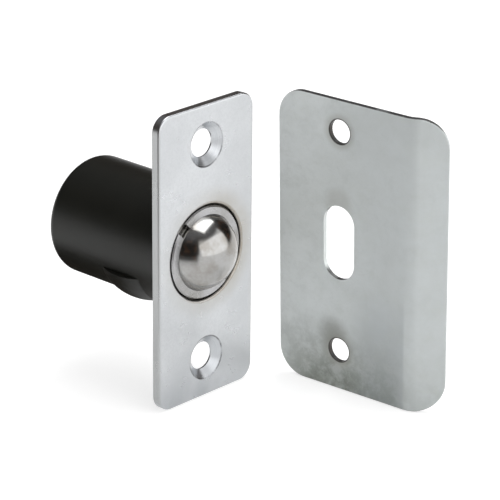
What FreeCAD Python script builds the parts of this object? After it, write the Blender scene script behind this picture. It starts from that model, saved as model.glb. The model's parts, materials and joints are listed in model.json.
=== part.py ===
import FreeCAD, Part
import math
import os

# Ball catch with its strike plate. Millimetres, +Z up along the plates.
# +Y runs into the door, so the ball stands out towards -Y, on the Y axis.
# The pieces are drawn from the centre of the faceplate's front face. The finished part has
# its origin at the centre of the faceplate's rear face, which seats in the door's edge.

# Faceplate
PLATE_WIDTH = 25.4
PLATE_HEIGHT = 58.7
PLATE_THICKNESS = 1.7
PLATE_CORNER_R = 3.2
PLATE_EDGE_R = 0.4
SCREW_SPACING = 43.1
SCREW_HOLE_D = 5.5
SCREW_SINK_D = 8.8
SCREW_SINK_ANGLE = 100.0
MOUTH_GAP = 0.35
MOUTH_EDGE_R = 0.45
MOUTH_DEPTH = 1.0
COLLAR_DEPTH = 3.6
COLLAR_WALL = 1.6

# Case
CASE_LENGTH = 31.2
CASE_WALL = 0.9
CASE_EDGE_R = 1.5
CASE_INNER_R = 0.6
COLLAR_FIT = 0.05

# Sheared bulge in the side of the case
BULGE_HEIGHT = 0.92
BULGE_SLIT_ANGLE = 201.8
BULGE_RIDGE_ANGLE = 217.0
BULGE_END_ANGLE = 290.0
BULGE_RIDGE_SHIFT = 2.0
BULGE_CROWN_R = 13.0
BULGE_CROWN_DROP = 2.9
BULGE_CENTRE_Y = 12.35
BULGE_LEAN = 20.0

# Ball
BALL_D = 15.875
BALL_PROUD = 5.19
BALL_PRESS = 4.8
BALL_GAP = 0.05

# Adjusting sleeve
SLEEVE_WALL = 1.11
SLEEVE_EDGE = 0.25
SLEEVE_BORE_GAP = 0.1
LIP_DEPTH = 1.7
THREAD_GAP = 0.1
SLOT_WIDTH = 2.4
SLOT_DEPTH = 1.3
SLOT_ANGLE = 135.0

# Rear plug of the sleeve
PLUG_THICKNESS = 1.4
PLUG_LEDGE = 0.4
PLUG_HOLE_D = 3.0
RIM_THICKNESS = 0.6
RIM_TURN_IN = 0.6

# Ball seat
SEAT_GAP = 0.09
SEAT_RIM = 1.45
SEAT_BACK = 1.7

# Spring
SPRING_WIRE = 1.2
SPRING_MARGIN = 1.75
SPRING_TURNS = 4.5
CLOSED_TURNS = 1.0
CLOSED_GAP = 0.05
TURN_STEPS = 8
SPRING_END_GAP = 0.05
PRESS_RESERVE = 0.6
BOSS_GAP = 0.7
BOSS_LENGTH = 1.5

# Strike plate: along it from its plain edge, then round the bend to the lip
STRIKE_HEIGHT = 59.1
STRIKE_THICKNESS = 0.9
STRIKE_FLAT = 29.6
STRIKE_BEND_R = 4.8
STRIKE_BEND_ANGLE = 35.5
STRIKE_LIP = 5.45
STRIKE_CORNER_R = 5.75
STRIKE_LIP_CORNER_R = 6.2
STRIKE_EDGE_R = 0.2
STRIKE_HOLE_D = 4.8
STRIKE_HOLE_SPACING = 44.7
STRIKE_HOLE_INSET = 14.4
STRIKE_HOLE_RISE = 0.9
STRIKE_SLOT_WIDTH = 7.25
STRIKE_SLOT_HEIGHT = 15.0
DISH_REACH = 3.2
DISH_DEPTH = 0.18

# Where the strike plate stands beside the faceplate, at its plain edge
STRIKE_X = 18.15
STRIKE_Y = -2.1
STRIKE_TURN = -86.35
STRIKE_TIP = 1.65

# Sizes that follow from those above
BALL_R = BALL_D / 2
BALL_Y = BALL_R - BALL_PROUD
LIP_R = math.sqrt((BALL_R + BALL_GAP) ** 2 - BALL_Y ** 2)
SLEEVE_BORE_R = BALL_R + SLEEVE_BORE_GAP
SLEEVE_R = SLEEVE_BORE_R + SLEEVE_WALL
THREAD_BORE_R = SLEEVE_R + THREAD_GAP
MOUTH_R = SLEEVE_R + MOUTH_GAP
COLLAR_R = THREAD_BORE_R + COLLAR_WALL
CASE_BORE_R = COLLAR_R + COLLAR_FIT
CASE_R = CASE_BORE_R + CASE_WALL
SEAT_R = SLEEVE_BORE_R - SEAT_GAP
SEAT_RIM_R = SEAT_R - SEAT_RIM
SPRING_MEAN_R = SEAT_R - SPRING_MARGIN - SPRING_WIRE / 2
BOSS_R = SPRING_MEAN_R - SPRING_WIRE / 2 - BOSS_GAP
SEAT_REAR = BALL_Y + BALL_R + BALL_GAP + SEAT_BACK
PLUG_R = SLEEVE_BORE_R + PLUG_LEDGE
PLUG_FRONT = SEAT_REAR + BALL_PRESS + SPRING_WIRE * SPRING_TURNS + PRESS_RESERVE
RIM_FRONT = PLUG_FRONT + PLUG_THICKNESS
SLEEVE_LENGTH = RIM_FRONT + RIM_THICKNESS
STRIKE_Z = STRIKE_HEIGHT / 2 * math.cos(math.radians(STRIKE_TIP)) - PLATE_HEIGHT / 2
TOOL_REACH = 60.0

ORIGIN = FreeCAD.Vector(0, 0, 0)
X_AXIS = FreeCAD.Vector(1, 0, 0)
Y_AXIS = FreeCAD.Vector(0, 1, 0)
Z_AXIS = FreeCAD.Vector(0, 0, 1)


def radial(radius, along):
    """Point of a turned profile: radius from the barrel axis, distance along it."""
    return FreeCAD.Vector(radius, along, 0)


def line(start, end):
    return Part.makeLine(start, end)


def arc(start, middle, end):
    return Part.Arc(start, middle, end).toShape()


def turned(edges):
    """Solid of revolution about the barrel axis, from a closed profile."""
    face = Part.Face(Part.Wire(edges))
    return face.revolve(ORIGIN, Y_AXIS, 360)


def turned_points(points):
    """Solid of revolution from straight profile corners given as (radius, along)."""
    corners = [radial(r, y) for r, y in points]
    edges = [line(a, b) for a, b in zip(corners, corners[1:] + corners[:1])]
    return turned(edges)


def rounded_corner(centre, radius, start_angle, end_angle):
    """Arc about a profile point, angles in degrees from the radial direction."""
    def spot(angle):
        turn = math.radians(angle)
        return radial(centre[0] + radius * math.cos(turn), centre[1] + radius * math.sin(turn))
    return arc(spot(start_angle), spot((start_angle + end_angle) / 2), spot(end_angle))


def rod(radius, start_y, end_y, x=0.0, z=0.0):
    """Cylinder along the barrel direction."""
    base = FreeCAD.Vector(x, start_y, z)
    return Part.makeCylinder(radius, end_y - start_y, base, Y_AXIS)


def edges_along(shape, direction):
    """Straight edges that run along a row direction."""
    found = []
    for edge in shape.Edges:
        ends = [vertex.Point for vertex in edge.Vertexes]
        if len(ends) == 2 and (ends[1] - ends[0]).cross(direction).Length < 1e-6:
            found.append(edge)
    return found


def plate_blank():
    """Oblong plate with round corners and a softened front edge."""
    corner = FreeCAD.Vector(-PLATE_WIDTH / 2, 0, -PLATE_HEIGHT / 2)
    plate = Part.makeBox(PLATE_WIDTH, PLATE_THICKNESS, PLATE_HEIGHT, corner)
    plate = plate.makeFillet(PLATE_CORNER_R, edges_along(plate, Y_AXIS))
    front = [edge for edge in plate.Edges if edge.BoundBox.YMax < 1e-6]
    return plate.makeFillet(PLATE_EDGE_R, front)


def collar():
    """Ring plunged to the rear out of the plate."""
    rear = PLATE_THICKNESS + COLLAR_DEPTH
    return rod(COLLAR_R, 0, rear).cut(rod(MOUTH_R, -1, rear + 1))


def threaded_bore():
    """The collar's inner wall, behind the wider mouth."""
    rear = PLATE_THICKNESS + COLLAR_DEPTH
    step = MOUTH_R - THREAD_BORE_R
    return turned_points([
        (THREAD_BORE_R, MOUTH_DEPTH + step),
        (MOUTH_R + COLLAR_FIT, MOUTH_DEPTH - COLLAR_FIT),
        (MOUTH_R + COLLAR_FIT, rear),
        (THREAD_BORE_R, rear),
    ])


def mouth_cut():
    """The plate's round hole with its rolled entrance."""
    wall = MOUTH_R
    top = wall + MOUTH_EDGE_R
    deep = PLATE_THICKNESS + COLLAR_DEPTH + 1
    entrance = rounded_corner((top, MOUTH_EDGE_R), MOUTH_EDGE_R, -90, -180)
    edges = [
        line(radial(0, -1), radial(top, -1)),
        line(radial(top, -1), radial(top, 0)),
        entrance,
        line(radial(wall, MOUTH_EDGE_R), radial(wall, deep)),
        line(radial(wall, deep), radial(0, deep)),
        line(radial(0, deep), radial(0, -1)),
    ]
    return turned(edges)


def screw_sink(z):
    """Countersunk screw hole at a height on the plate."""
    hole_r = SCREW_HOLE_D / 2
    sink_r = SCREW_SINK_D / 2
    depth = (sink_r - hole_r) / math.tan(math.radians(SCREW_SINK_ANGLE / 2))
    cone = Part.makeCone(sink_r, hole_r, depth, FreeCAD.Vector(0, 0, z), Y_AXIS)
    return rod(hole_r, -1, PLATE_THICKNESS + 1, 0, z).fuse(cone)


def faceplate():
    plate = plate_blank().fuse(collar())
    plate = plate.cut(mouth_cut())
    plate = plate.fuse(threaded_bore())
    for side in (-1, 1):
        plate = plate.cut(screw_sink(side * SCREW_SPACING / 2))
    return plate.removeSplitter()


def case_cup():
    """Drawn cup: open towards the plate, closed and rounded at the rear."""
    front = PLATE_THICKNESS
    inside = CASE_LENGTH - CASE_WALL
    outer = rounded_corner((CASE_R - CASE_EDGE_R, CASE_LENGTH - CASE_EDGE_R), CASE_EDGE_R, 0, 90)
    inner = rounded_corner((CASE_BORE_R - CASE_INNER_R, inside - CASE_INNER_R), CASE_INNER_R, 90, 0)
    edges = [
        line(radial(CASE_BORE_R, front), radial(CASE_R, front)),
        line(radial(CASE_R, front), radial(CASE_R, CASE_LENGTH - CASE_EDGE_R)),
        outer,
        line(radial(CASE_R - CASE_EDGE_R, CASE_LENGTH), radial(0, CASE_LENGTH)),
        line(radial(0, CASE_LENGTH), radial(0, inside)),
        line(radial(0, inside), radial(CASE_BORE_R - CASE_INNER_R, inside)),
        inner,
        line(radial(CASE_BORE_R, inside - CASE_INNER_R), radial(CASE_BORE_R, front)),
    ]
    return turned(edges)


def crowned_roll(radius):
    """Barrel-shaped tool: a roll whose side is crowned along its length."""
    half = math.sqrt(BULGE_CROWN_R ** 2 - (BULGE_CROWN_R - BULGE_CROWN_DROP) ** 2)
    end_r = radius - BULGE_CROWN_DROP
    edges = [
        line(radial(0, -half), radial(end_r, -half)),
        arc(radial(end_r, -half), radial(radius, 0), radial(end_r, half)),
        line(radial(end_r, half), radial(0, half)),
        line(radial(0, half), radial(0, -half)),
    ]
    return turned(edges)


def bulge_tool(depth):
    """The crowned roll, set against the case wall and leaned along it."""
    ridge = math.radians(BULGE_RIDGE_ANGLE)
    outward = FreeCAD.Vector(math.cos(ridge), 0, math.sin(ridge))
    slit = math.radians(BULGE_SLIT_ANGLE - BULGE_RIDGE_ANGLE)
    reach = CASE_R + BULGE_HEIGHT - BULGE_RIDGE_SHIFT * math.cos(slit)
    tool = crowned_roll(reach - depth)
    tool.translate(outward * BULGE_RIDGE_SHIFT)
    tool.rotate(ORIGIN, outward, BULGE_LEAN)
    tool.translate(FreeCAD.Vector(0, BULGE_CENTRE_Y, 0))
    return tool.common(bulge_wedge())


def bulge_wedge():
    """Sector about the barrel axis that begins at the slit."""
    middle = (BULGE_SLIT_ANGLE + BULGE_END_ANGLE) / 2
    corners = [ORIGIN]
    for angle in (BULGE_SLIT_ANGLE, middle, BULGE_END_ANGLE):
        turn = math.radians(angle)
        corners.append(FreeCAD.Vector(math.cos(turn), 0, math.sin(turn)) * TOOL_REACH)
    sector = Part.Face(Part.makePolygon(corners + [ORIGIN]))
    return sector.extrude(Y_AXIS * CASE_LENGTH)


def case():
    cup = case_cup()
    cup = cup.fuse(bulge_tool(0).cut(rod(CASE_R - CASE_WALL / 2, 0, CASE_LENGTH)))
    cup = cup.cut(bulge_tool(CASE_WALL))
    return cup.removeSplitter()


def spanner_slots():
    """One bar across the ring cuts both slots."""
    bar = Part.makeBox(
        SLEEVE_R * 4, SLOT_DEPTH + 1, SLOT_WIDTH,
        FreeCAD.Vector(-SLEEVE_R * 2, -1, -SLOT_WIDTH / 2),
    )
    bar.rotate(ORIGIN, Y_AXIS, -SLOT_ANGLE)
    return bar


def adjusting_sleeve():
    """Threaded ball housing: lip in front, turned-in rim over the plug at the rear."""
    body = turned_points([
        (LIP_R, 0),
        (SLEEVE_R - SLEEVE_EDGE, 0),
        (SLEEVE_R, SLEEVE_EDGE),
        (SLEEVE_R, SLEEVE_LENGTH - SLEEVE_EDGE),
        (SLEEVE_R - SLEEVE_EDGE, SLEEVE_LENGTH),
        (PLUG_R - RIM_TURN_IN, SLEEVE_LENGTH),
        (PLUG_R - RIM_TURN_IN, RIM_FRONT),
        (PLUG_R, RIM_FRONT),
        (PLUG_R, PLUG_FRONT),
        (SLEEVE_BORE_R, PLUG_FRONT),
        (SLEEVE_BORE_R, LIP_DEPTH),
    ])
    return body.cut(spanner_slots())


def end_plug():
    boss_front = PLUG_FRONT - BOSS_LENGTH
    return turned_points([
        (PLUG_HOLE_D / 2, boss_front),
        (BOSS_R, boss_front),
        (BOSS_R, PLUG_FRONT),
        (PLUG_R, PLUG_FRONT),
        (PLUG_R, RIM_FRONT),
        (PLUG_HOLE_D / 2, RIM_FRONT),
    ])


def ball():
    return Part.makeSphere(BALL_R, FreeCAD.Vector(0, BALL_Y, 0))


def ball_seat():
    """Cup that the ball rolls in, with a boss for the spring."""
    cup_r = BALL_R + BALL_GAP
    rim_y = BALL_Y + math.sqrt(cup_r ** 2 - SEAT_RIM_R ** 2)
    boss_rear = SEAT_REAR + BOSS_LENGTH
    rim_angle = math.degrees(math.acos(SEAT_RIM_R / cup_r))
    edges = [
        rounded_corner((0, BALL_Y), cup_r, 90, rim_angle),
        line(radial(SEAT_RIM_R, rim_y), radial(SEAT_R, rim_y)),
        line(radial(SEAT_R, rim_y), radial(SEAT_R, SEAT_REAR)),
        line(radial(SEAT_R, SEAT_REAR), radial(BOSS_R, SEAT_REAR)),
        line(radial(BOSS_R, SEAT_REAR), radial(BOSS_R, boss_rear)),
        line(radial(BOSS_R, boss_rear), radial(0, boss_rear)),
        line(radial(0, boss_rear), radial(0, BALL_Y + cup_r)),
    ]
    return turned(edges)


def spring_line(start, length):
    """Centre line of the wire: a closed turn at each end, and open turns between them."""
    close_rise = SPRING_WIRE + CLOSED_GAP
    open_turns = SPRING_TURNS - 2 * CLOSED_TURNS
    open_rise = (length - 2 * CLOSED_TURNS * close_rise) / open_turns
    points = []
    for step in range(int(SPRING_TURNS * TURN_STEPS) + 1):
        turn = step / TURN_STEPS
        close_part = min(turn, CLOSED_TURNS) + max(turn - CLOSED_TURNS - open_turns, 0)
        rise = close_part * close_rise + (turn - close_part) * open_rise
        angle = 2 * math.pi * turn
        across = SPRING_MEAN_R * math.cos(angle)
        up = SPRING_MEAN_R * math.sin(angle)
        points.append(FreeCAD.Vector(across, start + rise, up))
    curve = Part.BSplineCurve()
    curve.interpolate(points)
    return curve


def spring():
    """Compression spring with closed, ground ends, between the seat and the plug."""
    start = SEAT_REAR + SPRING_END_GAP
    end = PLUG_FRONT - SPRING_END_GAP
    curve = spring_line(start, end - start)
    first = curve.FirstParameter
    circle = Part.makeCircle(SPRING_WIRE / 2, curve.value(first), curve.tangent(first)[0])
    coil = Part.Wire(curve.toShape()).makePipeShell([Part.Wire(circle)], True, True)
    return coil.common(rod(SPRING_MEAN_R + SPRING_WIRE, start, end))


def strike_section():
    """Cross-section of the bent sheet: X along it, Y to its rear."""
    turn = math.radians(STRIKE_BEND_ANGLE)
    inner_r = STRIKE_BEND_R - STRIKE_THICKNESS

    def on_bend(radius, angle):
        x = STRIKE_FLAT + radius * math.sin(angle)
        y = STRIKE_BEND_R - radius * math.cos(angle)
        return FreeCAD.Vector(x, y, 0)

    along_lip = FreeCAD.Vector(math.cos(turn), math.sin(turn), 0) * STRIKE_LIP
    front_end = on_bend(STRIKE_BEND_R, turn) + along_lip
    rear_end = on_bend(inner_r, turn) + along_lip
    edges = [
        line(ORIGIN, on_bend(STRIKE_BEND_R, 0)),
        arc(on_bend(STRIKE_BEND_R, 0), on_bend(STRIKE_BEND_R, turn / 2), on_bend(STRIKE_BEND_R, turn)),
        line(on_bend(STRIKE_BEND_R, turn), front_end),
        line(front_end, rear_end),
        line(rear_end, on_bend(inner_r, turn)),
        arc(on_bend(inner_r, turn), on_bend(inner_r, turn / 2), on_bend(inner_r, 0)),
        line(on_bend(inner_r, 0), FreeCAD.Vector(0, STRIKE_THICKNESS, 0)),
        line(FreeCAD.Vector(0, STRIKE_THICKNESS, 0), ORIGIN),
    ]
    return Part.Face(Part.Wire(edges)), front_end


def corner_waste(radius):
    """What a rounded corner removes: corner at the origin, arms to -X and -Z."""
    centre = FreeCAD.Vector(-radius, 0, -radius)
    diagonal = radius * math.sqrt(0.5)
    over = radius
    edges = [
        arc(
            centre + FreeCAD.Vector(radius, 0, 0),
            centre + FreeCAD.Vector(diagonal, 0, diagonal),
            centre + FreeCAD.Vector(0, 0, radius),
        ),
        line(FreeCAD.Vector(-radius, 0, 0), FreeCAD.Vector(-radius, 0, over)),
        line(FreeCAD.Vector(-radius, 0, over), FreeCAD.Vector(over, 0, over)),
        line(FreeCAD.Vector(over, 0, over), FreeCAD.Vector(over, 0, -radius)),
        line(FreeCAD.Vector(over, 0, -radius), FreeCAD.Vector(0, 0, -radius)),
    ]
    waste = Part.Face(Part.Wire(edges)).extrude(FreeCAD.Vector(0, 4 * STRIKE_LIP, 0))
    waste.translate(FreeCAD.Vector(0, -2 * STRIKE_LIP, 0))
    return waste


def round_strike_corners(sheet, front_end):
    """Rounds the four corners; those of the lip are cut square to the lip."""
    for side in (1, -1):
        plain = corner_waste(STRIKE_CORNER_R)
        plain = plain.mirror(ORIGIN, X_AXIS)
        lip = corner_waste(STRIKE_LIP_CORNER_R)
        lip.rotate(ORIGIN, Z_AXIS, STRIKE_BEND_ANGLE)
        for waste, foot in ((plain, ORIGIN), (lip, front_end)):
            if side < 0:
                waste = waste.mirror(ORIGIN, Z_AXIS)
            waste.translate(foot + Z_AXIS * side * STRIKE_HEIGHT / 2)
            sheet = sheet.cut(waste)
    return sheet


def punch_dish(y):
    """Shallow funnel that a punch leaves round its hole, tangent to the sheet."""
    hole_r = STRIKE_HOLE_D / 2
    dish_r = hole_r + DISH_REACH
    roll = (DISH_REACH ** 2 + DISH_DEPTH ** 2) / (2 * DISH_DEPTH)
    steepest = math.degrees(math.asin(DISH_REACH / roll))
    edges = [
        rounded_corner((dish_r, y + roll), roll, -90, -90 - steepest),
        line(radial(hole_r, y + DISH_DEPTH), radial(0, y + DISH_DEPTH)),
        line(radial(0, y + DISH_DEPTH), radial(0, y)),
        line(radial(0, y), radial(dish_r, y)),
    ]
    return turned(edges)


def strike_hole(z):
    """Screw hole with its punched dish: metal swelled at the rear, metal removed."""
    place = FreeCAD.Vector(STRIKE_HOLE_INSET, 0, z)
    swell = punch_dish(STRIKE_THICKNESS)
    swell.translate(place)
    dish = punch_dish(0)
    dish.translate(place)
    depth = STRIKE_THICKNESS + DISH_DEPTH + 1
    drill = rod(STRIKE_HOLE_D / 2, -1, depth, STRIKE_HOLE_INSET, z)
    return swell, dish.fuse(drill)


def ball_slot():
    """Round-ended slot that the ball drops into."""
    end_r = STRIKE_SLOT_WIDTH / 2
    straight = STRIKE_SLOT_HEIGHT - STRIKE_SLOT_WIDTH
    low = STRIKE_HOLE_RISE - straight / 2
    back = STRIKE_THICKNESS + 1
    slot = Part.makeBox(
        STRIKE_SLOT_WIDTH, back + 1, straight,
        FreeCAD.Vector(STRIKE_HOLE_INSET - end_r, -1, low),
    )
    for z in (low, low + straight):
        slot = slot.fuse(rod(end_r, -1, back, STRIKE_HOLE_INSET, z))
    return slot


def depth_from_front(point):
    """How far a point of the bent sheet lies behind its front surface."""
    turn = math.radians(STRIKE_BEND_ANGLE)
    from_centre = point - FreeCAD.Vector(STRIKE_FLAT, STRIKE_BEND_R, point.z)
    angle = math.atan2(from_centre.x, -from_centre.y)
    if angle <= 0:
        return point.y
    if angle <= turn:
        return STRIKE_BEND_R - from_centre.Length
    outward = FreeCAD.Vector(math.sin(turn), -math.cos(turn), 0)
    return STRIKE_BEND_R - from_centre.dot(outward)


def soften_front(sheet):
    """Small radius round the outline of the strike's front, from the plain edge to the lip."""
    turn = math.radians(STRIKE_BEND_ANGLE)
    lip_start = STRIKE_FLAT + STRIKE_BEND_R * math.sin(turn)
    outline = []
    for edge in sheet.Edges:
        first, last = edge.ParameterRange
        spots = [edge.valueAt(first + (last - first) * share) for share in (0, 0.5, 1)]
        in_front = all(abs(depth_from_front(spot)) < 1e-4 for spot in spots)
        upright = abs(spots[0].x - spots[2].x) < 1e-6
        on_bend_line = upright and STRIKE_FLAT - 1e-4 < spots[1].x < lip_start + 1e-4
        if in_front and not on_bend_line:
            outline.append(edge)
    return sheet.makeFillet(STRIKE_EDGE_R, outline)


def strike_plate():
    section, front_end = strike_section()
    sheet = section.extrude(Z_AXIS * STRIKE_HEIGHT)
    sheet.translate(Z_AXIS * -STRIKE_HEIGHT / 2)
    sheet = round_strike_corners(sheet, front_end)
    sheet = soften_front(sheet)
    for side in (-1, 1):
        swell, waste = strike_hole(STRIKE_HOLE_RISE + side * STRIKE_HOLE_SPACING / 2)
        sheet = sheet.fuse(swell).cut(waste)
    sheet = sheet.cut(ball_slot()).removeSplitter()
    sheet.rotate(ORIGIN, X_AXIS, STRIKE_TIP)
    sheet.rotate(ORIGIN, Z_AXIS, STRIKE_TURN)
    sheet.translate(FreeCAD.Vector(STRIKE_X, STRIKE_Y, STRIKE_Z))
    return sheet


PIECES = {
    "faceplate": faceplate,
    "case": case,
    "adjusting_sleeve": adjusting_sleeve,
    "end_plug": end_plug,
    "ball": ball,
    "ball_seat": ball_seat,
    "spring": spring,
    "strike_plate": strike_plate,
}


def main():
    os.makedirs("parts", exist_ok=True)
    for name, make in PIECES.items():
        shape = make()
        solids = shape.Solids
        if len(solids) == 1:
            shape = solids[0]
        shape.translate(Y_AXIS * -PLATE_THICKNESS)
        shape.exportStep("parts/" + name + ".step")
        print(name, len(solids), "solid", round(shape.Volume, 1), "mm3", shape.isValid())


main()
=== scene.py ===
"""Looks of the ball catch and its strike plate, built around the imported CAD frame."""

import json
import math

import bpy
from mathutils import Matrix, Vector


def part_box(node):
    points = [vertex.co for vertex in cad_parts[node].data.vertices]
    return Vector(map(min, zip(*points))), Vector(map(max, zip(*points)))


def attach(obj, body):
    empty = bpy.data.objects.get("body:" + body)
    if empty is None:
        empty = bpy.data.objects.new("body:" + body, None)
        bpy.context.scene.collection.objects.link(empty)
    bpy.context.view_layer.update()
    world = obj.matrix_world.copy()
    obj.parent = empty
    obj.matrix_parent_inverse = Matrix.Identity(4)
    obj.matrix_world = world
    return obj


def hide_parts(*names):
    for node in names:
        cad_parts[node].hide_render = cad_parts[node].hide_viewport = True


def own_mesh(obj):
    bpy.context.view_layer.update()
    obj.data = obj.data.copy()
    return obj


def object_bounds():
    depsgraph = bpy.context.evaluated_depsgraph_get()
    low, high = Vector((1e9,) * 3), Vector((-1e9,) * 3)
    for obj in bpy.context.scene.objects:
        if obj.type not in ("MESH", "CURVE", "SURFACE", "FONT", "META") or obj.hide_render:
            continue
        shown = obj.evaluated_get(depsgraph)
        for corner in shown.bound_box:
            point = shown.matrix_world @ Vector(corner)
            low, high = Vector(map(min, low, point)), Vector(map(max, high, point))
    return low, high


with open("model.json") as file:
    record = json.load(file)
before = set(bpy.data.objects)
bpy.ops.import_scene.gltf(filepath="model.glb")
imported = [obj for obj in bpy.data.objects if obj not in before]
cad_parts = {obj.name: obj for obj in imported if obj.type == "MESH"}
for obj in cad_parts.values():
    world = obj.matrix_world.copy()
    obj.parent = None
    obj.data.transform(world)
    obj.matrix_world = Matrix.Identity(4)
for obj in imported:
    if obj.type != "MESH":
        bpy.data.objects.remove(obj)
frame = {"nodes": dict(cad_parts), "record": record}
CAD_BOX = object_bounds()
NODES = frame["nodes"]
MOUNTS = {mount["name"]: mount for mount in frame["record"]["mounts"]}


def rgb(red, green, blue):
    return (red, green, blue, 1)


# Lengths are in metres and powers in watts. A noise's scale is in waves per metre. Where a
# piece or a mark fades, a pair says where the fade starts and where it ends.

# Camera, solved from the outlines of both plates in the photo; sensor and lens in mm
CAMERA_PLACE = (-0.343122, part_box("faceplate")[0].y - 0.329049, 0.185911)
CAMERA_RIGHT = (0.68203, -0.73128, 0.00866)
CAMERA_UP = (0.26015, 0.25366, 0.93165)
CAMERA_BACK = (-0.68349, -0.63316, 0.36325)
CAMERA_SENSOR = 36
CAMERA_LENS = 194.77
CAMERA_CLIP = (0.01, 20)

FADE_IN = (0.0, 1.0)
FADE_OUT = (1.0, 0.0)

WHITE = rgb(1, 1, 1)
FLOOR_SIZE = 4.0
FLOOR_DROP = 0.0001
FLOOR_COLOUR = rgb(0.50, 0.50, 0.50)
FLOOR_GLOW = 0.66
SKY_LEVEL = 0.60

# Lamps: the way to them from the object, and their turn about their own axis in degrees
LAMPS = (
    dict(name="overhead", towards=(0.26, -0.08, 0.96), distance=1.0,
         width=1.0, height=0.58, power=6.0, turn=-43),
    dict(name="front", towards=(0.20, -0.94, 0.34), distance=1.2,
         width=2.25, height=0.95, power=6.0, turn=0),
)

# Dark half globe that only reflections see, with a window towards the front right.
# Angles are in degrees from +X, the window's soft border is in radians, and heights are
# shares of the radius.
ROOM_RADIUS = 1.8
ROOM_RINGS = 12
ROOM_PARTS = 48
ROOM_LOWEST = -2
ROOM_FOOT = (-0.02, 0.13)
ROOM_COLOUR = rgb(0.034, 0.032, 0.030)
ROOM_WARM = rgb(0.20, 0.10, 0.055)
ROOM_WARM_SPAN = (0.52, 0.70)
CEILING_COLOUR = rgb(0.25, 0.25, 0.26)
CEILING_RISE = (0.45, 0.97)
WINDOW_ANGLE = -78
WINDOW_HALF = 49
WINDOW_SOFT = 0.05
WINDOW_TOP = (0.60, 0.74)

# Dusk on the left, down to the table: its middle and half width with a soft border in degrees,
# how far out on the table it sets in, and how dark it gets there
DUSK_ANGLE = -162
DUSK_HALF = (24, 40)
DUSK_NEAR = (0.018, 0.20)
DUSK_SHARE = 0.9

# Dark upright card on the left, and the soft borders of its two ends and its foot
CARD_ANGLE = 196
CARD_DISTANCE = 0.10
CARD_HALF = 0.075
CARD_HEIGHTS = (-0.032, 0.12)
CARD_SOFT = (0.10, 0.025)
CARD_SOFT_FOOT = 0.06

# Painted shade: a dark sheet on the table under the case, standing in for the case's shadow there
CASE_SHADE_MIDDLE = (-0.005, 0.043)
CASE_SHADE_HALF = (0.036, 0.032)
CASE_SHADE_SOFT = 0.018
CASE_SHADE_REACH = 0.1

CLOUD_SPAN = (0.35, 0.7)
PATCHES = dict(scale=420, detail=3, roughness=0.55, distortion=0.4)
FINE_GRAIN = dict(scale=5200, detail=2, roughness=0.6)

# Marks on the two plates, in the order in which they are laid. Each is a tone and its fades,
# and the mark's share is the product of the fades. A fade is a measure, a pair of the
# measure's values and the shares there. Lengths are measured from the plate's middle, or from
# what the measure's name says, and noises run from 0 to 1.
SCREW_UP = MOUNTS["faceplate_screws"]["dims"]["spacing_y_mm"] / 2000
SINK_RIM_R = 0.00436
FACEPLATE_TONES = (rgb(0.60, 0.615, 0.63), rgb(0.545, 0.56, 0.575))
FRONT_ONLY = ("depth", (-0.00025, -0.00010), FADE_OUT)
FACEPLATE_MARKS = (
    # Painted shade: greyer foot and flanks, standing in for the darker table they reflect; and a
    # greyer right half
    (rgb(0.335, 0.35, 0.365),
     ("up", (-0.031, -0.017), (0.8, 0.0)), ("clouds", (0.25, 0.6), (0.4, 1.0))),
    (rgb(0.435, 0.45, 0.46),
     ("across", (0.0, 0.0115), (0.0, 0.45)), ("up", (0.006, 0.024), (1.0, 0.5))),
    (rgb(0.34, 0.345, 0.34), ("aside", (0.0120, 0.0127), (0.0, 0.7))),
    # Turned cones of the screw holes, and the dark rims round them
    (rgb(0.44, 0.46, 0.49), ("from_screw", (0.0043, 0.0044), FADE_OUT),
     ("turning", (0.35, 0.65), (0.15, 0.6)), FRONT_ONLY),
    (rgb(0.10, 0.10, 0.105), ("off_rim", (0.00006, 0.00020), (0.85, 0.0)),
     ("patches", (0.38, 0.56), (0.25, 1.0)), FRONT_ONLY),
    # Cream stain round the ball housing, and a dark brown line along the edge of its mouth,
    # stronger on the right
    (rgb(0.405, 0.390, 0.352), ("radius", (0.0098, 0.0140), (0.85, 0.0)),
     ("clouds", (0.3, 0.6), (0.5, 1.0)), ("across", (-0.010, 0.010), (0.35, 1.0)), FRONT_ONLY),
    (rgb(0.24, 0.20, 0.15), ("radius", (0.0099, 0.0102), (0.6, 0.0)),
     ("across", (-0.009, 0.004), (0.2, 1.0)), FRONT_ONLY),
    # Grain all over
    (rgb(0.45, 0.465, 0.48), ("fine", (0.42, 0.62), (0.0, 0.24))),
)

# Strike plate: middle of its two screw holes, and the ways up and across its face
HOLE_HIGH, HOLE_LOW = (
    Vector(MOUNTS[name]["pos_m"]) for name in ("strike_hole_upper", "strike_hole_lower"))
STRIKE_MIDDLE = (HOLE_HIGH + HOLE_LOW) / 2
STRIKE_UP = (HOLE_HIGH - HOLE_LOW).normalized()
STRIKE_ACROSS = STRIKE_UP.cross(Vector(MOUNTS["strike_hole_upper"]["axis"]))
STRIKE_HOLE_UP = (HOLE_HIGH - HOLE_LOW).length / 2

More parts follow.
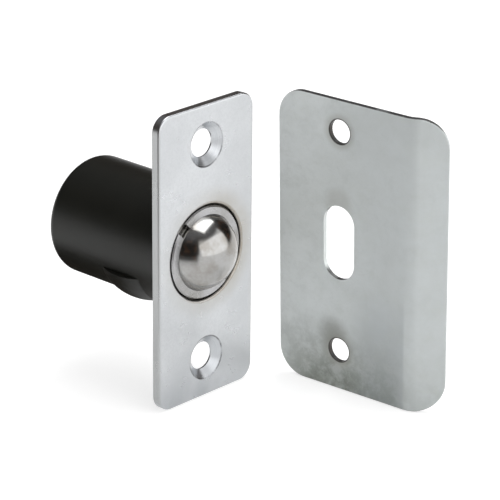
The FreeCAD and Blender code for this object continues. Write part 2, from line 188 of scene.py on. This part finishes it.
STRIKE_CLOUD_SPAN = (0.3, 0.7)
# Painted light: the left half's tones are lighter than the right half's, to make up for the darker
# reflections on the left; STRIKE_TURN is where the two meet
STRIKE_TURN = (-0.014, 0.014)
STRIKE_PAINTED_LIGHT_LEFT_TONES = (rgb(0.95, 0.99, 0.985), rgb(0.90, 0.945, 0.935))
STRIKE_RIGHT_TONES = (rgb(0.69, 0.73, 0.735), rgb(0.64, 0.675, 0.675))
SMEAR_SCALES = (170, 170, 330)
SMUDGE_UP = 0.0080
# Painted shade above and left of the lower hole, standing in for the shading of its pressed dish:
# its middle, and how far its border wanders
DISH_SHADE_ACROSS, DISH_SHADE_UP = -0.0014, -0.0192
DISH_SHADE_WANDER = 0.0030
STRIKE_MARKS = (
    # Painted shade: a darkened foot standing in for the shadowed table it reflects, and a grey low
    # band towards the bend
    (rgb(0.175, 0.192, 0.160), ("up", (-0.031, -0.013), FADE_OUT),
     ("across", (0.0125, 0.0165), (1.0, 0.25)), ("mottle", (0.35, 0.62), (0.62, 1.0)),
     ("across", (-0.014, -0.004), (0.6, 1.0))),
    (rgb(0.40, 0.435, 0.45), ("across", (0.001, 0.009), FADE_IN),
     ("across", (0.0150, 0.0158), FADE_OUT), ("up", (-0.016, -0.005), (0.45, 0.0))),
    # Mottle, smears and wear all over
    (rgb(0.50, 0.54, 0.52), ("mottle", (0.45, 0.7), (0.0, 0.16))),
    (rgb(0.60, 0.635, 0.59), ("smears", (0.42, 0.75), (0.0, 0.20))),
    (rgb(0.60, 0.63, 0.63), ("worn", (0.5, 0.72), (0.0, 0.12))),
    # Brownish rings round the screw holes and a patch over the slot; painted shade above the lower
    # hole, standing in for the shading of its pressed dish; then the holes' rims
    (rgb(0.30, 0.28, 0.23), ("from_hole", (0.0024, 0.0042), (0.36, 0.0))),
    (rgb(0.36, 0.35, 0.30), ("from_smudge", (0.0016, 0.0042), (0.28, 0.0))),
    (rgb(0.21, 0.21, 0.185), ("from_dish_shade", (0.0022, 0.0062), (0.60, 0.0))),
    (rgb(0.030, 0.025, 0.020), ("from_hole", (0.00246, 0.00272), FADE_OUT)),
    # Cut edges at the top and the foot; upright is 1 where a face looks straight up or down
    (rgb(0.045, 0.045, 0.045), ("upright", (0.35, 0.75), FADE_IN),
     ("patches", (0.35, 0.5), (0.85, 1.0))),
)

BLACK_TONES = (rgb(0.006, 0.0066, 0.0052), rgb(0.0115, 0.0118, 0.0085))


def place_camera():
    data = bpy.data.cameras.new("camera")
    data.sensor_width = CAMERA_SENSOR
    data.lens = CAMERA_LENS
    data.clip_start, data.clip_end = CAMERA_CLIP
    camera = bpy.data.objects.new("camera", data)
    bpy.context.scene.collection.objects.link(camera)
    columns = zip(CAMERA_RIGHT, CAMERA_UP, CAMERA_BACK, CAMERA_PLACE)
    camera.matrix_world = Matrix([list(row) for row in columns] + [[0, 0, 0, 1]])
    bpy.context.scene.camera = camera


class Graph:
    """A material's or world's node tree, with short calls for the nodes used here."""

    def __init__(self, owner):
        owner.use_nodes = True
        self.tree = owner.node_tree
        self.tree.nodes.clear()

    def node(self, kind, inputs=None, **settings):
        made = self.tree.nodes.new(kind)
        for key, value in settings.items():
            setattr(made, key, value)
        for key, value in (inputs or {}).items():
            self.feed(made.inputs[key], value)
        return made

    def feed(self, socket, value):
        if isinstance(value, bpy.types.NodeSocket):
            self.tree.links.new(value, socket)
        else:
            socket.default_value = value

    def math(self, operation, *values):
        made = self.node("ShaderNodeMath", operation=operation)
        for socket, value in zip(made.inputs, values):
            self.feed(socket, value)
        return made.outputs[0]

    def times(self, first, *others):
        for other in others:
            first = self.math("MULTIPLY", first, other)
        return first

    def raised(self, share, low, rise):
        return self.math("ADD", low, self.times(share, rise))

    def mix(self, share, low, high):
        made = self.node("ShaderNodeMix", data_type="RGBA")
        self.feed(made.inputs[0], share)
        self.feed(made.inputs[6], low)
        self.feed(made.inputs[7], high)
        return made.outputs[2]

    def ramp(self, value, span, result=FADE_IN):
        """Goes softly from result's first to its second while the value crosses the span."""
        made = self.node("ShaderNodeMapRange", interpolation_type="SMOOTHSTEP")
        for socket, item in zip(made.inputs, (value, *span, *result)):
            self.feed(socket, item)
        return made.outputs[0]

    def place(self):
        return self.node("ShaderNodeTexCoord").outputs["Object"]

    def split(self, vector):
        return tuple(self.node("ShaderNodeSeparateXYZ", {"Vector": vector}).outputs)

    def noise(self, place, scale, detail, roughness, distortion=0.0):
        made = self.node("ShaderNodeTexNoise", {
            "Vector": place, "Scale": scale, "Detail": detail,
            "Roughness": roughness, "Distortion": distortion})
        return made.outputs["Fac"]

    def scaled(self, place, factors):
        return self.node("ShaderNodeMapping", {"Vector": place, "Scale": factors}).outputs[0]

    def marked(self, base, marks, measures):
        """Base colour with marks laid over it in their order."""
        for tone, *fades in marks:
            share = self.times(*(
                self.ramp(measures[measure], span, shares) for measure, span, shares in fades))
            base = self.mix(share, base, tone)
        return base

    def bump(self, height, distance):
        return self.node(
            "ShaderNodeBump", {"Height": height, "Distance": distance}).outputs[0]

    def along(self, place, origin, way):
        """Distance from origin along a way."""
        shifted = self.node("ShaderNodeVectorMath", {0: place, 1: origin}, operation="SUBTRACT")
        made = self.node(
            "ShaderNodeVectorMath", {0: shifted.outputs[0], 1: way}, operation="DOT_PRODUCT")
        return made.outputs["Value"]

    def length(self, across, up):
        return self.math("SQRT", self.math(
            "ADD", self.times(across, across), self.times(up, up)))

    def turned(self, x, y, heading):
        """Angle between the way to (x, y) and a heading, in radians."""
        ahead = Vector((math.cos(heading), math.sin(heading)))
        along = self.math("ADD", self.times(x, ahead.x), self.times(y, ahead.y))
        aside = self.math("SUBTRACT", self.times(y, ahead.x), self.times(x, ahead.y))
        return self.math("ABSOLUTE", self.math("ARCTAN2", aside, along))

    def seen(self):
        """1 for the rays in which the plain background shows, 0 for the rays that light."""
        path = self.node("ShaderNodeLightPath")
        share = self.math("MAXIMUM", path.outputs["Is Camera Ray"], path.outputs["Is Glossy Ray"])
        return self.math("MAXIMUM", share, path.outputs["Is Transmission Ray"])

    def surface(self, **inputs):
        shader = self.node("ShaderNodeBsdfPrincipled")
        for key, value in inputs.items():
            self.feed(shader.inputs[key.replace("_", " ")], value)
        output = self.node("ShaderNodeOutputMaterial")
        self.tree.links.new(shader.outputs[0], output.inputs["Surface"])


def new_material(name):
    material = bpy.data.materials.new(name)
    return material, Graph(material)


def metal(name, colour, stain, roughness, grain, spread=0.05, cloud_scale=90):
    """Cloudy metal, its roughness uneven by spread, and grain the height of its fine grain."""
    material, graph = new_material(name)
    place = graph.place()
    clouds = graph.noise(place, scale=cloud_scale, detail=4, roughness=0.6)
    patches = graph.noise(place, **PATCHES)
    graph.surface(
        Base_Color=graph.mix(graph.ramp(clouds, CLOUD_SPAN), colour, stain), Metallic=1.0,
        Roughness=graph.raised(patches, low=roughness - spread / 2, rise=spread),
        Normal=graph.bump(graph.noise(place, **FINE_GRAIN), distance=grain))
    return material


def faceplate_metal():
    """Satin plate with a cream stain round the ball housing, greyer on its right, and with painted
    shade at its foot and flanks for the darker table they reflect.
    """
    material, graph = new_material("plated_steel")
    place = graph.place()
    across, depth, up = graph.split(place)
    clouds = graph.noise(place, scale=70, detail=4, roughness=0.6, distortion=0.3)
    patches = graph.noise(place, scale=380, detail=3, roughness=0.55, distortion=0.4)
    fine = graph.noise(place, scale=2600, detail=3, roughness=0.6)
    from_screw = graph.length(
        across, graph.math("SUBTRACT", graph.math("ABSOLUTE", up), SCREW_UP))
    rings = graph.node("ShaderNodeCombineXYZ", {"X": from_screw}).outputs[0]
    measures = dict(
        across=across, depth=depth, up=up, clouds=clouds, patches=patches, fine=fine,
        aside=graph.math("ABSOLUTE", across), radius=graph.length(across, up),
        from_screw=from_screw,
        turning=graph.noise(rings, scale=5200, detail=2, roughness=0.5),
        off_rim=graph.math("ABSOLUTE", graph.math("SUBTRACT", from_screw, SINK_RIM_R)))
    base = graph.mix(graph.ramp(clouds, CLOUD_SPAN), *FACEPLATE_TONES)
    graph.surface(
        Base_Color=graph.marked(base, FACEPLATE_MARKS, measures), Metallic=1.0,
        Roughness=graph.raised(patches, low=0.24, rise=0.10),
        Normal=graph.bump(fine, distance=0.0000008))
    return material


def strike_metal():
    """Dull sheet with clouds, painted light on its left half, painted shade at its foot and over
    its lower hole, brownish marks by its openings and dark cut edges.
    """
    material, graph = new_material("strike_steel")
    place = graph.place()
    across = graph.along(place, STRIKE_MIDDLE, STRIKE_ACROSS)
    up = graph.along(place, STRIKE_MIDDLE, STRIKE_UP)
    clouds = graph.noise(place, scale=85, detail=5, roughness=0.62, distortion=0.4)
    patches = graph.noise(place, **PATCHES)
    smears = graph.noise(graph.scaled(place, SMEAR_SCALES), scale=1.0, detail=5,
                         roughness=0.7, distortion=0.2)
    # Painted shade above the lower hole, its border wandering with the smears
    from_dish_shade = graph.length(graph.math("SUBTRACT", across, DISH_SHADE_ACROSS),
                             graph.math("SUBTRACT", up, DISH_SHADE_UP))
    facing = graph.node("ShaderNodeTexCoord").outputs["Normal"]
    measures = dict(
        across=across, up=up, patches=patches, smears=smears,
        mottle=graph.noise(place, scale=300, detail=5, roughness=0.7, distortion=0.3),
        worn=graph.noise(place, scale=1900, detail=3, roughness=0.65),
        from_hole=graph.length(
            across, graph.math("SUBTRACT", graph.math("ABSOLUTE", up), STRIKE_HOLE_UP)),
        from_smudge=graph.length(across, graph.math("SUBTRACT", up, SMUDGE_UP)),
        from_dish_shade=graph.math("ADD", from_dish_shade, graph.times(smears, DISH_SHADE_WANDER)),
        upright=graph.math("ABSOLUTE", graph.along(facing, (0, 0, 0), STRIKE_UP)))
    cloudy = graph.ramp(clouds, STRIKE_CLOUD_SPAN)
    # Painted light: the left half is lighter, making up for its darker reflections
    left = graph.mix(cloudy, *STRIKE_PAINTED_LIGHT_LEFT_TONES)
    right = graph.mix(cloudy, *STRIKE_RIGHT_TONES)
    base = graph.mix(graph.ramp(across, STRIKE_TURN), left, right)
    graph.surface(
        Base_Color=graph.marked(base, STRIKE_MARKS, measures), Metallic=0.2,
        Roughness=graph.raised(patches, low=0.36, rise=0.12),
        Normal=graph.bump(graph.noise(place, **FINE_GRAIN), distance=0.000003))
    return material


def black_finish():
    """Satin black coating with a slight orange peel."""
    material, graph = new_material("black_finish")
    place = graph.place()
    clouds = graph.noise(place, scale=120, detail=3, roughness=0.5)
    peel = graph.noise(place, scale=2600, detail=2, roughness=0.5)
    graph.surface(
        Base_Color=graph.mix(clouds, *BLACK_TONES), Specular_IOR_Level=0.36,
        Roughness=graph.raised(clouds, low=0.34, rise=0.08),
        Normal=graph.bump(peel, distance=0.000006))
    return material


def dress(node, material):
    slots = NODES[node].material_slots
    for item in slots:
        item.material = material
    if not slots:
        NODES[node].data.materials.append(material)


def pressed_spring():
    """The spring once more, as a piece of its own on the cartridge body, with the imported spring
    hidden.
    """
    piece = bpy.data.objects.new("compression_spring", NODES["spring"].data.copy())
    bpy.context.scene.collection.objects.link(piece)
    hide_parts("spring")
    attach(piece, "cartridge")
    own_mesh(piece)


def stage_mesh(name, points, faces, material):
    mesh = bpy.data.meshes.new(name)
    mesh.from_pydata(points, [], faces)
    mesh.materials.append(material)
    made = bpy.data.objects.new(name, mesh)
    bpy.context.scene.collection.objects.link(made)
    return made


def square(half, level):
    return [(-half, -half, level), (half, -half, level), (half, half, level), (-half, half, level)]


def add_floor():
    material, graph = new_material("floor")
    graph.surface(
        Base_Color=FLOOR_COLOUR, Roughness=0.9, Specular_IOR_Level=0.0, Emission_Color=WHITE,
        Emission_Strength=graph.times(graph.seen(), FLOOR_GLOW))
    points = square(FLOOR_SIZE / 2, CAD_BOX[0][2] - FLOOR_DROP)
    stage_mesh("floor", points, [(0, 1, 2, 3)], material)


def light_world():
    world = bpy.data.worlds.new("studio")
    bpy.context.scene.world = world
    graph = Graph(world)
    strength = graph.raised(graph.seen(), low=SKY_LEVEL, rise=1 - SKY_LEVEL)
    back = graph.node("ShaderNodeBackground", {"Color": WHITE, "Strength": strength})
    output = graph.node("ShaderNodeOutputWorld")
    graph.tree.links.new(back.outputs[0], output.inputs["Surface"])


def area_light(name, towards, distance, width, height, power, turn):
    """Lamp that looks at the object."""
    data = bpy.data.lights.new(name, "AREA")
    data.shape = "RECTANGLE"
    data.size = width
    data.size_y = height
    data.energy = power
    lamp = bpy.data.objects.new(name, data)
    direction = Vector(towards).normalized()
    lamp.location = direction * distance
    aimed = direction.to_track_quat("Z", "Y").to_matrix()
    lamp.rotation_euler = (aimed @ Matrix.Rotation(math.radians(turn), 3, "Z")).to_euler()
    bpy.context.scene.collection.objects.link(lamp)


def dark_material(name, cover_of):
    """Dark, unevenly warm cloth, also used for the sheets of painted shade; its cover fades out
    where cover_of says.
    """
    material, graph = new_material(name)
    place = graph.place()
    cover = cover_of(graph, *graph.split(place))
    way = graph.node("ShaderNodeVectorMath", {0: place}, operation="NORMALIZE").outputs[0]
    warm = graph.ramp(graph.noise(way, scale=7.0, detail=3, roughness=0.6), ROOM_WARM_SPAN)
    colour = graph.mix(warm, ROOM_COLOUR, ROOM_WARM)
    rise = graph.split(way)[2]
    colour = graph.mix(graph.ramp(rise, CEILING_RISE), colour, CEILING_COLOUR)
    clear = graph.node("ShaderNodeBsdfTransparent")
    dark = graph.node("ShaderNodeEmission", {"Color": colour, "Strength": 1.0})
    mixed = graph.node(
        "ShaderNodeMixShader", {0: cover, 1: clear.outputs[0], 2: dark.outputs[0]})
    output = graph.node("ShaderNodeOutputMaterial")
    graph.tree.links.new(mixed.outputs[0], output.inputs["Surface"])
    return material


def dark_piece(name, points, faces, cover_of):
    """Piece of the studio that is seen in reflections only."""
    piece = stage_mesh(name, points, faces, dark_material(name, cover_of))
    piece.visible_camera = False
    piece.visible_diffuse = False
    piece.visible_shadow = False


def dusk(graph, x, y):
    """Share of the dusk on the way to (x, y): 1 round its middle, 0 beyond its border."""
    span = [math.radians(angle) for angle in DUSK_HALF]
    return graph.ramp(graph.turned(x, y, math.radians(DUSK_ANGLE)), span, FADE_OUT)


def dark_room():
    """Half a globe round the set: dark, with a window low towards the front right."""
    points = []
    for ring in range(ROOM_RINGS + 1):
        rise = math.radians(ROOM_LOWEST + (90 - ROOM_LOWEST) * ring / ROOM_RINGS)
        for part in range(ROOM_PARTS):
            turn = 2 * math.pi * part / ROOM_PARTS
            points.append((ROOM_RADIUS * math.cos(rise) * math.cos(turn),
                           ROOM_RADIUS * math.cos(rise) * math.sin(turn),
                           ROOM_RADIUS * math.sin(rise)))
    faces = []
    for ring in range(ROOM_RINGS):
        for part in range(ROOM_PARTS):
            near = ring * ROOM_PARTS + part
            far = ring * ROOM_PARTS + (part + 1) % ROOM_PARTS
            faces.append((near, far, far + ROOM_PARTS, near + ROOM_PARTS))
    half = math.radians(WINDOW_HALF)

    def cover(graph, x, y, z):
        angle = graph.turned(x, y, math.radians(WINDOW_ANGLE))
        height = graph.math("DIVIDE", z, ROOM_RADIUS)
        opening = graph.times(
            graph.ramp(angle, (half - WINDOW_SOFT, half + WINDOW_SOFT), FADE_OUT),
            graph.ramp(height, WINDOW_TOP, FADE_OUT))
        foot = graph.math("MAXIMUM", graph.ramp(height, ROOM_FOOT), dusk(graph, x, y))
        return graph.times(graph.math("SUBTRACT", 1.0, opening), foot)

    dark_piece("dark_room", points, faces, cover)


def dark_card():
    """Dark card near the set on its left, where the pale table ends."""
    turn = math.radians(CARD_ANGLE)
    away = Vector((math.cos(turn), math.sin(turn), 0))
    across = Vector((-away.y, away.x, 0))
    ends = [away * CARD_DISTANCE + across * side for side in (-CARD_HALF, CARD_HALF)]
    points = [(end.x, end.y, z) for z in CARD_HEIGHTS for end in ends]

    def cover(graph, x, y, z):
        aside = graph.math("ADD", graph.times(x, across.x), graph.times(y, across.y))
        return graph.times(
            graph.ramp(z, (CARD_HEIGHTS[0], CARD_HEIGHTS[0] + CARD_SOFT_FOOT)),
            graph.ramp(aside, (-CARD_HALF, CARD_SOFT[0] - CARD_HALF)),
            graph.ramp(aside, (CARD_HALF - CARD_SOFT[1], CARD_HALF), FADE_OUT))

    dark_piece("dark_card", points, [(0, 1, 3, 2)], cover)


def painted_shade_sheet(name, reach, rise, cover_of):
    """Square sheet of painted shade at a rise above the floor, seen where cover_of lays it."""
    points = square(reach, CAD_BOX[0][2] - FLOOR_DROP + rise)
    dark_piece(name, points, [(0, 1, 2, 3)], cover_of)


def painted_shade_by_case():
    """Painted shade under the case, where its lower flank reflects the table: a dark sheet
    standing in for the case's shadow on it.
    """
    def cover(graph, x, y, z):
        return graph.times(*(
            graph.ramp(graph.math("ABSOLUTE", graph.math("SUBTRACT", value, middle)),
                       (half - CASE_SHADE_SOFT, half), FADE_OUT)
            for value, middle, half in zip((x, y), CASE_SHADE_MIDDLE, CASE_SHADE_HALF)))

    painted_shade_sheet("painted_shade_by_case", CASE_SHADE_REACH, FLOOR_DROP, cover)


def painted_dusk_by_ball():
    """Painted shade: a dark sheet for the dusk on the table's left, which the ball's lower left
    reflects.
    """
    def cover(graph, x, y, z):
        far = graph.ramp(graph.length(x, y), DUSK_NEAR, (0.0, DUSK_SHARE))
        return graph.times(dusk(graph, x, y), far)

    painted_shade_sheet("painted_dusk_by_ball", ROOM_RADIUS, FLOOR_DROP / 2, cover)


place_camera()
bpy.context.scene.view_settings.view_transform = "Standard"

bare_steel = metal("bare_steel", rgb(0.55, 0.55, 0.54), rgb(0.45, 0.44, 0.42),
                   roughness=0.35, grain=0.000002)
dress("faceplate", faceplate_metal())
dress("case", black_finish())
dress("adjusting_sleeve", metal(
    "plated_sleeve", rgb(0.44, 0.44, 0.45), rgb(0.29, 0.285, 0.27),
    roughness=0.26, grain=0.000002, spread=0.12))
dress("ball", metal(
    "polished_steel", rgb(0.385, 0.385, 0.38), rgb(0.265, 0.250, 0.228),
    roughness=0.14, grain=0.0000006, spread=0.08, cloud_scale=210))
dress("ball_seat", bare_steel)
dress("end_plug", bare_steel)
dress("spring", metal(
    "spring_steel", rgb(0.42, 0.42, 0.42), rgb(0.34, 0.33, 0.32),
    roughness=0.3, grain=0.000002))
dress("strike_plate", strike_metal())
pressed_spring()

add_floor()
light_world()
for lamp in LAMPS:
    area_light(**lamp)
NODES["strike_plate"].visible_glossy = False
dark_room()
dark_card()
painted_shade_by_case()
painted_dusk_by_ball()
